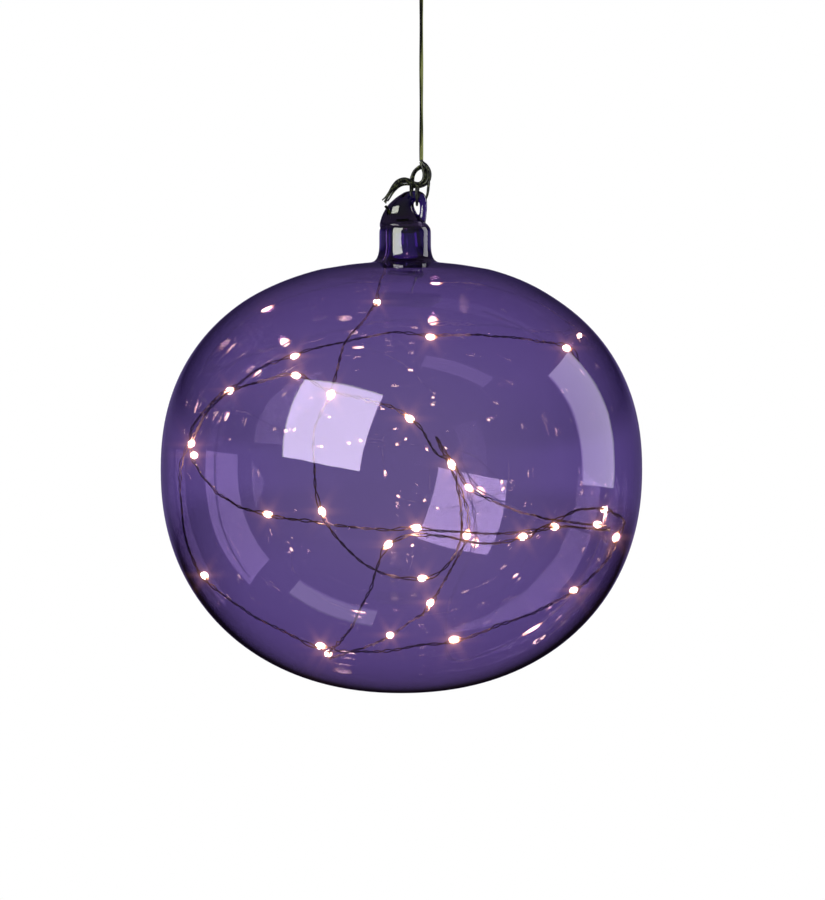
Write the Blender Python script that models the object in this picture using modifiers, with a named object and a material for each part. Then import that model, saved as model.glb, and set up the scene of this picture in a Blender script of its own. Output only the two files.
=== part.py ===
"""A hanging glass globe light: a blown glass globe with a drawn glass hook, a string of tiny lights
inside it, the lead that it hangs on, and the battery case that holds and feeds the lead.

The origin is the point that hangs on a ceiling hook: the inside of the wire bail over the case.
+Z is up, the lead runs down the Z axis, and the front of the globe faces -Y.
"""

import math

import bmesh
import bpy
from mathutils import Matrix, Vector

MM = 0.001
OBJECT_NAME = "glass_globe_light"
GAP = 0.3 * MM
MERGE = 0.00001

# Globe, measured from the centre of its widest circle.
GLOBE_RADIUS = 80.1 * MM
GLOBE_TOP = 69.6 * MM
GLOBE_BOTTOM = 74.3 * MM
TOP_POWER = 2.24
BOTTOM_POWER = 2.17
GLASS_WALL = 1.2 * MM
STRING_INSET = 2.0 * MM
GLOBE_STEPS = 48
GLOBE_ARC_POINTS = 14
NECK_RADIUS = 8.6 * MM
NECK_SHIFT = 1.2 * MM
NECK_RIM = 78.0 * MM
NECK_FOOT = 68.7 * MM
SHIFT_START = 55.0 * MM

# Where the globe's centre is, below the origin and to the left of the lead.
GLOBE_CENTRE = Vector((-6.6, 0.0, -255.5)) * MM

# Hook: the round bar that the lead's loop hangs on, and the glass drawn up to it.
BAR_HEIGHT = 90.95 * MM
HOOK_BORE_RADIUS = 1.0 * MM
HOOK_BORE_AT = Vector((-3.6, -2.5, 82.0)) * MM
HOOK_BORE_LENGTH = 14.0 * MM

# Wires.
LEAD_DIAMETER = 1.6 * MM
STRAND_DIAMETER = 1.2 * MM
TAIL_DIAMETER = 1.0 * MM
WIRE_DIAMETER = 0.6 * MM
BEAD_RADIUS = 1.4 * MM
BEAD_LENGTH = 4.0 * MM
BEAD_OFFSET = WIRE_DIAMETER / 2 + BEAD_RADIUS + 2 * GAP

# Battery case.
CASE_WIDTH = 52.0 * MM
CASE_DEPTH = 22.0 * MM
CASE_HEIGHT = 74.0 * MM
CASE_TOP = -12.0 * MM
CASE_WALL = 1.6 * MM
CASE_BOTTOM = CASE_TOP - CASE_HEIGHT
DOOR_THICKNESS = 1.8 * MM
DOOR_RIB = 1.2 * MM
DOOR_RIB_DEPTH = 3.0 * MM
CORNER = 2.0 * MM
CELL_RADIUS = 7.1 * MM
CELL_LENGTH = 49.3 * MM
CELL_NUB_RADIUS = 2.7 * MM
CELL_NUB = 1.2 * MM
CELL_PITCH = 15.0 * MM
CELL_DEPTH = 1.2 * MM
CELL_TOP = CASE_TOP - CASE_WALL - 2 * GAP - 0.5 * MM
CONTACT_THICKNESS = 0.5 * MM
SPRING_LENGTH = 4.6 * MM
SPRING_RADIUS = 3.6 * MM
SPRING_TIP_RADIUS = 2.2 * MM
SPRING_WIRE = 0.6 * MM
SPRING_TURNS = 3
RELIEF_TIP = -94.0 * MM
RELIEF_HOLE = 3.3 * MM
BAIL_WIRE = 2.0 * MM
BAIL_PIVOT = CASE_TOP - 5.0 * MM
BAIL_HALF_WIDTH = 28.3 * MM
BAIL_HOLE = 1.3 * MM
SWITCH_HEIGHT = -78.0 * MM
SWITCH_TRAVEL = 3.0 * MM
KNOB_DEPTH = 3.0 * MM
KNOB_LENGTH = 4.6 * MM

# The light string, in millimetres from the globe's centre: across, up, and how far towards the
# wall, where -1 is the front wall and 1 the back wall. Each row starts at a light and goes on
# to the next row's.
LED_ROUTE = (
    ((-8, 55, -0.55), (-11, 49, -0.70), (-18, 39, -0.88)),
    ((-22, 24, -0.96), (-27, 13, -0.97), (-27, 0, -0.97)),
    ((-25, -13, -0.97), (-19, -22, -0.96), (-8, -31, -0.95)),
    ((7, -34, -0.95), (16, -27, -0.95), (19, -16, -0.95)),
    ((16, 2, -0.93), (11, 6, -0.84)),
    ((3, 17, -0.70), (-10, 22, -0.78), (-22, 25, -0.90)),
    ((-33, 30, -0.93), (-46, 28, -0.90), (-58, 23, -0.80)),
    ((-70, 9, -0.30), (-73, -3, -0.25), (-72, -20, -0.35)),
    ((-65, -35, -0.65), (-51, -45, -0.80), (-37, -52, -0.90)),
    ((-26, -57, -0.90), (-12, -58, -0.93), (3, -56, -0.93)),
    ((17, -54, -0.93), (35, -48, -0.90), (46, -44, -0.85)),
    ((56, -39, -0.70), (66, -32, -0.50)),
    ((72, -23, -0.05), (73, -17, -0.40)),
    ((66, -13, -0.85), (57, -13, -0.92), (48, -16, -0.95)),
    ((39, -21, -0.96), (27, -23, -0.96), (9, -20, -0.96)),
    ((-4, -23, -0.96), (-10, -38, -0.96), (-16, -50, -0.95)),
    ((-24, -60, -0.70), (-19, -61, -0.40), (-11, -59, -0.05)),
    ((-4, -57, 0.30), (4, -52, 0.60)),
    ((10, -48, 0.80), (16, -38, 0.92)),
    ((23, -24, 0.95), (22, -11, 0.95), (12, 11, 0.93), (18, 2, 0.93)),
    ((24, -7, 0.93), (38, -14, 0.90), (55, -18, 0.75)),
    ((67, -19, 0.30), (67, -20, -0.30)),
    ((49, -18, -0.96), (31, -20, -0.97), (17, -19, -0.97)),
    ((5, -18, -0.97), (-10, -18, -0.97), (-29, -16, -0.97)),
    ((-42, -14, -0.95), (-56, -9, -0.88), (-65, -1, -0.65)),
    ((-69, 5, -0.30), (-70, 14, 0.10), (-66, 21, 0.45)),
    ((-60, 27, 0.80), (-49, 35, 0.90)),
    ((-38, 40, 0.94), (-20, 45, 0.95), (-4, 48, 0.95)),
    ((10, 47, 0.95), (27, 47, 0.95), (44, 45, 0.94)),
    ((57, 42, 0.85), (61, 37, 0.85)),
)
WIRE_START = ((-5.5, -4.7, 66.6), (-5.7, -7.0, 64.8), (-7.0, -12.0, 62.0), (-7.6, -20.0, 58.8))
TAIL_ROUTE = (
    (-5.4, -3.6, 87.6),
    (-4.4, -3.1, 86.4),
    (-3.7, -2.6, 84.6),
    (-3.6, -2.5, 82.0),
    (-3.6, -2.5, 78.0),
    (-3.6, -2.6, 74.0),
    (-4.1, -3.1, 70.2),
    (-5.2, -4.2, 67.3),
)
ENDS_ROUTE = (
    (2.4, -0.2, 96.2, 0.80),
    (0.5, -0.7, 96.2, 0.80),
    (-1.8, -1.4, 94.9, 0.75),
    (-3.5, -2.0, 92.9, 0.65),
    (-4.5, -2.5, 90.9, 0.55),
    (-5.4, -2.9, 89.2, 0.45),
)
KNOT_CENTRE = (5.35, 0.0, 98.6)
KNOT_HALF_WIDTH = 2.15
KNOT_HALF_HEIGHT = 2.95
LOOP_X = 5.05
LOOP_RADIUS = 2.85
LEAD_FOOT = 102.8 * MM

# The hook's glass, in millimetres from the globe's centre: across, up, and the glass's radius.
HOOK_WEB = (
    (1.2, 78.3, 8.6),
    (1.2, 79.3, 8.6),
    (0.9, 80.4, 8.0),
    (0.0, 81.6, 6.9),
    (-0.7, 83.0, 5.9),
    (-0.8, 84.6, 5.1),
    (-0.3, 86.4, 4.3),
    (0.6, 88.1, 3.4),
    (1.8, 89.6, 2.6),
    (3.4, 90.6, 2.0),
    (5.1, 90.95, 1.85),
    (6.4, 90.7, 1.6),
)
HOOK_LEG = (
    (5.2, 90.95, 1.5),
    (6.4, 90.6, 1.5),
    (7.1, 89.5, 1.35),
    (7.3, 88.0, 1.25),
    (7.2, 86.0, 1.25),
    (6.9, 84.0, 1.3),
    (6.3, 82.0, 1.5),
    (5.6, 80.2, 1.8),
)

MATERIALS = {
    "violet_glass": ((0.16, 0.08, 0.42), 0.03, 0.0, 0.9),
    "olive_lead": ((0.10, 0.11, 0.05), 0.45, 0.0, 0.0),
    "dark_wire": ((0.10, 0.07, 0.05), 0.35, 0.9, 0.0),
    "resin_bead": ((1.0, 0.72, 0.42), 0.15, 0.0, 0.3),
    "case_plastic": ((0.05, 0.055, 0.05), 0.45, 0.0, 0.0),
    "knob_plastic": ((0.55, 0.56, 0.55), 0.4, 0.0, 0.0),
    "relief_rubber": ((0.04, 0.045, 0.04), 0.7, 0.0, 0.0),
    "cell_wrap": ((0.35, 0.38, 0.36), 0.35, 0.3, 0.0),
    "spring_steel": ((0.75, 0.75, 0.74), 0.25, 1.0, 0.0),
    "board_laminate": ((0.05, 0.25, 0.12), 0.5, 0.0, 0.0),
}


def clear_scene():
    """Removes every object, so that the model starts from nothing."""
    for obj in list(bpy.data.objects):
        bpy.data.objects.remove(obj, do_unlink=True)


def new_collection(name):
    """A collection of that name in the scene."""
    made = bpy.data.collections.new(name)
    bpy.context.scene.collection.children.link(made)
    return made


def make_materials():
    """One Principled material for each finish."""
    made = {}
    for name, (colour, roughness, metallic, transmission) in MATERIALS.items():
        material = bpy.data.materials.new(name)
        material.use_nodes = True
        shader = material.node_tree.nodes["Principled BSDF"]
        shader.inputs["Base Color"].default_value = (*colour, 1.0)
        shader.inputs["Roughness"].default_value = roughness
        shader.inputs["Metallic"].default_value = metallic
        shader.inputs["Transmission Weight"].default_value = transmission
        material.diffuse_color = (*colour, 1.0)
        made[name] = material
    return made


clear_scene()
PARTS = new_collection(OBJECT_NAME)
CUTTERS = new_collection("cutters")
FINISH = make_materials()


def new_axis(name, place):
    """An empty on a joint's axis, which its moving pieces are parented to."""
    axis = bpy.data.objects.new(name, None)
    axis.location = place
    axis.empty_display_size = 10 * MM
    PARTS.objects.link(axis)
    return axis


def place_piece(obj, finish, axis):
    """Gives a piece its material and its parent, and leaves it where it is."""
    obj.data.materials.clear()
    obj.data.materials.append(FINISH[finish])
    bpy.context.view_layer.update()
    world = obj.matrix_world.copy()
    if axis is not None:
        obj.parent = axis
        obj.matrix_parent_inverse = axis.matrix_world.inverted()
        obj.matrix_world = world
    return obj


def evaluated_mesh(obj):
    """The object's mesh with its modifiers applied and its doubled points merged."""
    bpy.context.view_layer.update()
    graph = bpy.context.evaluated_depsgraph_get()
    mesh = bpy.data.meshes.new_from_object(obj.evaluated_get(graph), depsgraph=graph)
    bm = bmesh.new()
    bm.from_mesh(mesh)
    bmesh.ops.remove_doubles(bm, verts=bm.verts, dist=MERGE)
    bmesh.ops.recalc_face_normals(bm, faces=bm.faces)
    bm.to_mesh(mesh)
    bm.free()
    return mesh


def made_a_mesh(obj):
    """A mesh object in place of a curve or of an object with modifiers."""
    mesh = evaluated_mesh(obj)
    name = obj.name
    matrix = obj.matrix_world.copy()
    home = obj.users_collection[0]
    bpy.data.objects.remove(obj, do_unlink=True)
    solid = bpy.data.objects.new(name, mesh)
    solid.matrix_world = matrix
    home.objects.link(solid)
    return solid


def smooth(obj, degrees=40):
    """Smooth shading with sharp edges over that angle."""
    obj.data.shade_smooth()
    obj.data.set_sharp_from_angle(angle=math.radians(degrees))
    return obj


def turned(name, profile, place, steps, home=None):
    """A profile of (radius, height) points, turned about a vertical axis. Its outer side runs down."""
    mesh = bpy.data.meshes.new(name)
    points = [(radius, 0.0, height) for radius, height in profile]
    edges = [(i, i + 1) for i in range(len(points) - 1)]
    mesh.from_pydata(points, edges, [])
    obj = bpy.data.objects.new(name, mesh)
    obj.location = place
    (home or PARTS).objects.link(obj)
    screw = obj.modifiers.new("turn", "SCREW")
    screw.steps = steps
    screw.render_steps = steps
    screw.use_merge_vertices = True
    screw.merge_threshold = MERGE
    screw.use_smooth_shade = True
    return obj


def tube(name, points, diameter, home=None, sides_level=2, radii=None, cyclic=False):
    """A wire along a poly line of points. radii scale the diameter at each point."""
    curve = bpy.data.curves.new(name, "CURVE")
    curve.dimensions = "3D"
    curve.bevel_depth = diameter / 2
    curve.bevel_resolution = sides_level
    curve.use_fill_caps = not cyclic
    spline = curve.splines.new("POLY")
    spline.points.add(len(points) - 1)
    spline.use_cyclic_u = cyclic
    spline.use_smooth = True
    for i, point in enumerate(points):
        spline.points[i].co = (*point, 1.0)
        spline.points[i].radius = radii[i] if radii else 1.0
    obj = bpy.data.objects.new(name, curve)
    (home or PARTS).objects.link(obj)
    return obj


def smooth_line(route, per_span):
    """Points on a smooth curve through every point of a route, per_span to each span."""
    points = [Vector(p) for p in route]
    ends = [2 * points[0] - points[1], *points, 2 * points[-1] - points[-2]]
    line = []
    for i in range(1, len(ends) - 2):
        before, start, end, after = ends[i - 1 : i + 3]
        for step in range(per_span):
            t = step / per_span
            bend = 2 * before - 5 * start + 4 * end - after
            twist = 3 * start - before - 3 * end + after
            line.append(0.5 * (2 * start + (end - before) * t + bend * t * t + twist * t**3))
    line.append(points[-1])
    return line


def box(name, low, high, bevel=0.0, home=None):
    """A box between two corners, with its edges rounded if bevel is given."""
    low = Vector(low)
    high = Vector(high)
    mesh = bpy.data.meshes.new(name)
    bm = bmesh.new()
    bmesh.ops.create_cube(bm, size=1.0)
    bmesh.ops.scale(bm, vec=high - low, verts=bm.verts)
    bm.to_mesh(mesh)
    bm.free()
    obj = bpy.data.objects.new(name, mesh)
    obj.location = (low + high) / 2
    (home or PARTS).objects.link(obj)
    if bevel:
        rounding = obj.modifiers.new("rounded_edges", "BEVEL")
        rounding.width = bevel
        rounding.segments = 2
        rounding.limit_method = "ANGLE"
    return obj


def rod(name, centre, radius, length, axis="Z", sides=24):
    """A cylinder about a centre, along one axis, to cut with."""
    mesh = bpy.data.meshes.new(name)
    bm = bmesh.new()
    bmesh.ops.create_cone(
        bm, cap_ends=True, segments=sides, radius1=radius, radius2=radius, depth=length
    )
    bm.to_mesh(mesh)
    bm.free()
    obj = bpy.data.objects.new(name, mesh)
    turn = {"X": Matrix.Rotation(math.pi / 2, 4, "Y"), "Z": Matrix.Identity(4)}[axis]
    obj.matrix_world = Matrix.Translation(centre) @ turn
    CUTTERS.objects.link(obj)
    return obj


def combine(obj, other, operation):
    """Cuts other out of obj, or joins it to obj. The other shape stays as a guide."""
    other.hide_render = True
    other.display_type = "WIRE"
    step = obj.modifiers.new(other.name, "BOOLEAN")
    step.operation = operation
    step.solver = "EXACT"
    step.object = other
    return obj


def globe_point(across, depth, height):
    """A place in the globe's own millimetres, as a place in the model."""
    return GLOBE_CENTRE + Vector((across, depth, height)) * MM


def squarish_radius(height, inset):
    """The globe's radius at a height from its centre, inset from its outer surface."""
    half = (GLOBE_TOP if height >= 0 else GLOBE_BOTTOM) - inset
    power = TOP_POWER if height >= 0 else BOTTOM_POWER
    share = min(1.0, abs(height) / half)
    return (GLOBE_RADIUS - inset) * (1.0 - share**power) ** (1.0 / power)


def globe_profile():
    """The outer side of the neck, its flare and the globe, from the rim down to the lowest point."""
    flare = NECK_RIM - NECK_FOOT
    profile = [
        (NECK_RADIUS, NECK_RIM),
        (NECK_RADIUS, NECK_FOOT + 0.38 * flare),
        (NECK_RADIUS + 0.5 * MM, NECK_FOOT + 0.2 * flare),
        (NECK_RADIUS + 1.4 * MM, NECK_FOOT + 0.08 * flare),
        (NECK_RADIUS + 2.9 * MM, NECK_FOOT),
    ]
    for half, power, sign, first in (
        (GLOBE_TOP, TOP_POWER, 1, 3),
        (GLOBE_BOTTOM, BOTTOM_POWER, -1, 0),
    ):
        for i in range(first, GLOBE_ARC_POINTS + 1):
            turn = math.pi / 2 * i / GLOBE_ARC_POINTS
            if sign < 0:
                turn = math.pi / 2 - turn
            if sign < 0 and i == 0:
                continue
            radius = GLOBE_RADIUS * math.sin(turn) ** (2 / power)
            height = sign * half * math.cos(turn) ** (2 / power)
            profile.append((radius if turn > MERGE else 0.0, height))
    return profile


def make_globe(axis):
    """The blown shell: one wall from the neck's rim down and round, open at the neck."""
    shell = made_a_mesh(turned("glass_globe", globe_profile(), GLOBE_CENTRE, GLOBE_STEPS))
    for vertex in shell.data.vertices:
        rise = (vertex.co.z - SHIFT_START) / (NECK_FOOT - SHIFT_START)
        rise = max(0.0, min(1.0, rise))
        vertex.co.x += NECK_SHIFT * rise * rise * (3 - 2 * rise)
    wall = shell.modifiers.new("glass_wall", "SOLIDIFY")
    wall.thickness = GLASS_WALL
    wall.offset = -1
    wall.use_even_offset = True
    return smooth(place_piece(shell, "violet_glass", axis))


def hook_tube(name, route, home):
    """Glass of a changing radius along one of the hook's routes, as a mesh."""
    points = [globe_point(across, 0.0, height) for across, height, _ in route]
    radii = [radius for _, _, radius in route]
    return made_a_mesh(tube(name, points, 2 * MM, home, sides_level=5, radii=radii))


def make_hook(axis):
    """The glass drawn up from the neck's left and over into a bar and a leg, with the lead's bore."""
    hook = hook_tube("glass_hook", HOOK_WEB, PARTS)
    leg = hook_tube("hook_leg", HOOK_LEG, CUTTERS)
    combine(hook, leg, "UNION")
    bore_place = GLOBE_CENTRE + HOOK_BORE_AT
    combine(hook, rod("lead_bore", bore_place, HOOK_BORE_RADIUS, HOOK_BORE_LENGTH), "DIFFERENCE")
    return smooth(place_piece(hook, "violet_glass", axis))


def wall_depth(across, height, share):
    """How deep a point lies when it is that share of the way to where the string may lie."""
    radius = squarish_radius(height * MM, STRING_INSET) / MM
    return share * math.sqrt(max(0.0, radius**2 - across**2))


def string_points():
    """The light string's points, and which of them hold a light."""
    points = [globe_point(*p) for p in WIRE_START]
    lights = []
    for row in LED_ROUTE:
        lights.append(len(points))
        for across, height, share in row:
            points.append(globe_point(across, wall_depth(across, height, share), height))
    return points, lights


def bead_profile():
    """A resin drop, blunt at one end and drawn out at the other, from top to bottom."""
    shape = ((0.0, 0.5), (0.55, 0.36), (0.78, 0.12), (1.0, -0.16), (0.7, -0.4), (0.0, -0.5))
    return [(share * BEAD_RADIUS, height * BEAD_LENGTH) for share, height in shape]


def make_light_string(axis):
    """The wire in the globe and a resin bead beside it at every light."""
    points, lights = string_points()
    wire = tube("led_wire", smooth_line(points, 1), WIRE_DIAMETER)
    place_piece(wire, "dark_wire", axis)
    first = turned("led_01", bead_profile(), (0, 0, 0), 8)
    drop = evaluated_mesh(first)
    drop.materials.append(FINISH["resin_bead"])
    bpy.data.objects.remove(first, do_unlink=True)
    for number, index in enumerate(lights, 1):
        along = (points[index + 1] - points[index - 1]).normalized()
        inward = GLOBE_CENTRE - points[index]
        inward = (inward - inward.dot(along) * along).normalized()
        bead = bpy.data.objects.new(f"led_{number:02d}", drop)
        bead.rotation_euler = along.to_track_quat("Z", "Y").to_euler()
        bead.location = points[index] + inward * BEAD_OFFSET
        PARTS.objects.link(bead)
        bpy.context.view_layer.update()
        world = bead.matrix_world.copy()
        bead.parent = axis
        bead.matrix_parent_inverse = axis.matrix_world.inverted()
        bead.matrix_world = world


def make_tail(axis):
    """The lead's thin tail: beside the hook, down through its bore and the neck."""
    line = smooth_line([globe_point(*p) for p in TAIL_ROUTE], 2)
    return place_piece(tube("lead_tail", line, TAIL_DIAMETER), "olive_lead", axis)


def ring_points(centre, half_across, half_deep, half_high, count):
    """Points round an ellipse that stands up, in the globe's millimetres."""
    points = []
    for i in range(count):
        turn = 2 * math.pi * i / count
        across = centre[0] + half_across * math.cos(turn)
        depth = centre[1] + half_deep * math.cos(turn)
        points.append(globe_point(across, depth, centre[2] + half_high * math.sin(turn)))
    return points


def make_knot(axis):
    """The knot's ring, the loop round the hook's bar, and the lead's loose ends."""
    ring = ring_points(KNOT_CENTRE, KNOT_HALF_WIDTH, 0.0, KNOT_HALF_HEIGHT, 16)
    place_piece(tube("lead_knot", ring, LEAD_DIAMETER, cyclic=True), "olive_lead", axis)
    centre = (LOOP_X, 0.0, BAR_HEIGHT / MM)
    loop = ring_points(centre, 0.0, LOOP_RADIUS, LOOP_RADIUS, 16)
    place_piece(tube("hook_loop", loop, STRAND_DIAMETER, cyclic=True), "olive_lead", axis)
    ends = [globe_point(*p[:3]) for p in ENDS_ROUTE]
    radii = [p[3] for p in ENDS_ROUTE]
    place_piece(tube("lead_ends", ends, 2 * MM, radii=radii), "olive_lead", axis)


def make_lead(axis):
    """The lead, taut between the case's strain relief and the knot."""
    foot = GLOBE_CENTRE.z + LEAD_FOOT
    top = RELIEF_TIP - 2 * GAP
    points = [(0.0, 0.0, top + (foot - top) * i / 12) for i in range(13)]
    return place_piece(tube("hanging_lead", points, LEAD_DIAMETER), "olive_lead", axis)


def make_case(axis):
    """The moulded tray: open at the front, with a hole for the lead, two for the bail's feet,
    a slot for the switch and two notches that the door's ribs slide out through."""
    half_width = CASE_WIDTH / 2
    back = CASE_DEPTH / 2
    front = -back + DOOR_THICKNESS + GAP
    tray = box(
        "case_tray", (-half_width, front, CASE_BOTTOM), (half_width, back, CASE_TOP), CORNER
    )
    inner = half_width - CASE_WALL
    hollow = box(
        "case_hollow",
        (-inner, front - CASE_WALL, CASE_BOTTOM + CASE_WALL),
        (inner, back - CASE_WALL, CASE_TOP - CASE_WALL),
        home=CUTTERS,
    )
    combine(tray, hollow, "DIFFERENCE")
    for side, name in ((-1, "left"), (1, "right")):
        rib = side * (inner - DOOR_RIB)
        notch = box(
            f"rib_notch_{name}",
            (rib - DOOR_RIB, front - CASE_WALL, CASE_TOP - 2 * CASE_WALL),
            (rib + DOOR_RIB, front + DOOR_RIB_DEPTH + GAP, CASE_TOP + CASE_WALL),
            home=CUTTERS,
        )
        combine(tray, notch, "DIFFERENCE")
        foot_place = (side * (half_width - CASE_WALL / 2), 0.0, BAIL_PIVOT)
        hole = rod(f"bail_hole_{name}", foot_place, BAIL_HOLE, 2 * CASE_WALL, "X")
        combine(tray, hole, "DIFFERENCE")
    slot_half_depth = KNOB_DEPTH / 2 + GAP
    slot_top = SWITCH_HEIGHT + KNOB_LENGTH / 2 + GAP
    slot_bottom = SWITCH_HEIGHT - KNOB_LENGTH / 2 - SWITCH_TRAVEL - GAP
    slot = box(
        "switch_slot",
        (inner - CASE_WALL, -slot_half_depth, slot_bottom),
        (half_width + CASE_WALL, slot_half_depth, slot_top),
        home=CUTTERS,
    )
    combine(tray, slot, "DIFFERENCE")
    combine(tray, rod("lead_hole", (0, 0, CASE_BOTTOM), RELIEF_HOLE, 4 * CASE_WALL), "DIFFERENCE")
    return place_piece(tray, "case_plastic", axis)


def make_door(axis):
    """The front cover, with two ribs on its back that run inside the tray's sides."""
    half_width = CASE_WIDTH / 2
    front = -CASE_DEPTH / 2
    back = front + DOOR_THICKNESS
    door = box(
        "battery_door", (-half_width, front, CASE_BOTTOM), (half_width, back, CASE_TOP), 0.6 * MM
    )
    inner = half_width - CASE_WALL
    for side, name in ((-1, "left"), (1, "right")):
        middle = side * (inner - DOOR_RIB)
        rib = box(
            f"door_rib_{name}",
            (middle - DOOR_RIB / 2, back - DOOR_THICKNESS / 2, CASE_BOTTOM + 2 * CASE_WALL),
            (middle + DOOR_RIB / 2, back + DOOR_RIB_DEPTH, CASE_TOP - CASE_WALL - GAP),
            home=CUTTERS,
        )
        combine(door, rib, "UNION")
    return place_piece(door, "case_plastic", axis)


def cell_profile(flipped):
    """A round cell with its raised contact at the top, or at the bottom if flipped."""
    half = CELL_LENGTH / 2
    profile = [
        (0.0, half + CELL_NUB),
        (CELL_NUB_RADIUS, half + CELL_NUB),
        (CELL_NUB_RADIUS, half),
        (CELL_RADIUS - 0.4 * MM, half),
        (CELL_RADIUS, half - 0.4 * MM),
        (CELL_RADIUS, 0.4 * MM - half),
        (CELL_RADIUS - 0.4 * MM, -half),
        (0.0, -half),
    ]
    return [(r, -h) for r, h in reversed(profile)] if flipped else profile


def make_cells(axis):
    """Three cells in series, the middle one upside down, each with its spring."""
    low_end = CELL_TOP - CELL_NUB - CELL_LENGTH
    for name, across, flipped in (
        ("left", -CELL_PITCH, False),
        ("middle", 0.0, True),
        ("right", CELL_PITCH, False),
    ):
        top = CELL_TOP - SPRING_LENGTH - 2 * GAP if flipped else CELL_TOP - CELL_NUB
        centre = (across, CELL_DEPTH, top - CELL_LENGTH / 2)
        cell = turned(f"cell_{name}", cell_profile(flipped), centre, 24)
        smooth(place_piece(made_a_mesh(cell), "cell_wrap", axis))
        base = CELL_TOP if flipped else low_end - SPRING_LENGTH - 2 * GAP
        make_spring(f"spring_{name}", across, base, flipped, axis)
    return low_end


def make_spring(name, across, base, flipped, axis):
    """A tapered coil whose wide end sits on its plate."""
    count = SPRING_TURNS * 8
    points = []
    for i in range(count + 1):
        share = i / count
        radius = SPRING_RADIUS + (SPRING_TIP_RADIUS - SPRING_RADIUS) * share
        turn = 2 * math.pi * SPRING_TURNS * share
        rise = SPRING_WIRE / 2 + (SPRING_LENGTH - SPRING_WIRE) * share
        height = base - rise if flipped else base + rise
        points.append((across + radius * math.cos(turn), CELL_DEPTH + radius * math.sin(turn), height))
    place_piece(tube(name, points, SPRING_WIRE, sides_level=1), "spring_steel", axis)


def make_contacts(axis, low_end):
    """The plates that join the cells: two bridges and the two ends of the chain."""
    edge = CELL_PITCH + CELL_RADIUS - 1.0 * MM
    split = CELL_PITCH / 2
    top = CELL_TOP + GAP
    low = low_end - SPRING_LENGTH - 3 * GAP - CONTACT_THICKNESS
    for name, left, right, base in (
        ("contact_bridge_top", -edge, split - MM, top),
        ("contact_positive", split + MM, edge, top),
        ("contact_negative", -edge, -split - MM, low),
        ("contact_bridge_bottom", MM - split, edge, low),
    ):
        plate = box(
            name,
            (left, CELL_DEPTH - 4 * MM, base),
            (right, CELL_DEPTH + 4 * MM, base + CONTACT_THICKNESS),
        )
        place_piece(plate, "spring_steel", axis)
    return low


def make_electronics(axis, low):
    """The driver board behind the lead's hole, and the switch's body by its slot."""
    board_top = low - 2 * MM
    board = box(
        "driver_board", (-21 * MM, 6.0 * MM, CASE_BOTTOM + 2.4 * MM), (12 * MM, 7.2 * MM, board_top)
    )
    place_piece(board, "board_laminate", axis)
    body = box(
        "switch_body",
        (15.5 * MM, -3.5 * MM, SWITCH_HEIGHT - 5.6 * MM),
        (22.2 * MM, 3.5 * MM, SWITCH_HEIGHT + 4.4 * MM),
        0.4 * MM,
    )
    place_piece(body, "case_plastic", axis)


def make_knob(axis):
    """The slide switch's knob, which stands out of its slot."""
    knob = box(
        "switch_knob",
        (22.6 * MM, -KNOB_DEPTH / 2, SWITCH_HEIGHT - KNOB_LENGTH / 2),
        (27.4 * MM, KNOB_DEPTH / 2, SWITCH_HEIGHT + KNOB_LENGTH / 2),
        0.4 * MM,
    )
    return place_piece(knob, "knob_plastic", axis)


def make_relief(axis):
    """The rubber grommet that holds the lead in the case's floor, drawn down to the lead."""
    floor = CASE_BOTTOM
    profile = [
        (0.0, floor + CASE_WALL + 1.8 * MM),
        (4.4 * MM, floor + CASE_WALL + 1.8 * MM),
        (4.4 * MM, floor + CASE_WALL + GAP),
        (RELIEF_HOLE - GAP, floor + CASE_WALL + GAP),
        (RELIEF_HOLE - GAP, floor - GAP),
        (4.4 * MM, floor - GAP),
        (4.4 * MM, floor - 1.6 * MM),
        (2.9 * MM, floor - 2.4 * MM),
        (1.5 * MM, RELIEF_TIP),
        (0.0, RELIEF_TIP),
    ]
    relief = made_a_mesh(turned("strain_relief", profile, (0, 0, 0), 24))
    return smooth(place_piece(relief, "relief_rubber", axis))


def make_bail():
    """The wire bail: a foot in each side of the case, and a round arch between them."""
    foot = CASE_WIDTH / 2 - CASE_WALL / 2
    radius = -BAIL_PIVOT + BAIL_WIRE / 2
    points = [Vector((foot, 0.0, BAIL_PIVOT)), Vector((BAIL_HALF_WIDTH - MM, 0.0, BAIL_PIVOT))]
    points.append(Vector((BAIL_HALF_WIDTH - 0.2 * MM, 0.0, BAIL_PIVOT + 0.5 * MM)))
    steps = 20
    for i in range(1, steps):
        turn = math.pi * i / steps
        across = BAIL_HALF_WIDTH * abs(math.cos(turn)) ** 0.75
        across = math.copysign(across, math.cos(turn))
        points.append(Vector((across, 0.0, BAIL_PIVOT + radius * math.sin(turn) ** 0.75)))
    points += [Vector((-p.x, 0.0, p.z)) for p in reversed(points[:3])]
    return place_piece(tube("hanging_bail", points, BAIL_WIRE), "spring_steel", None)


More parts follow.
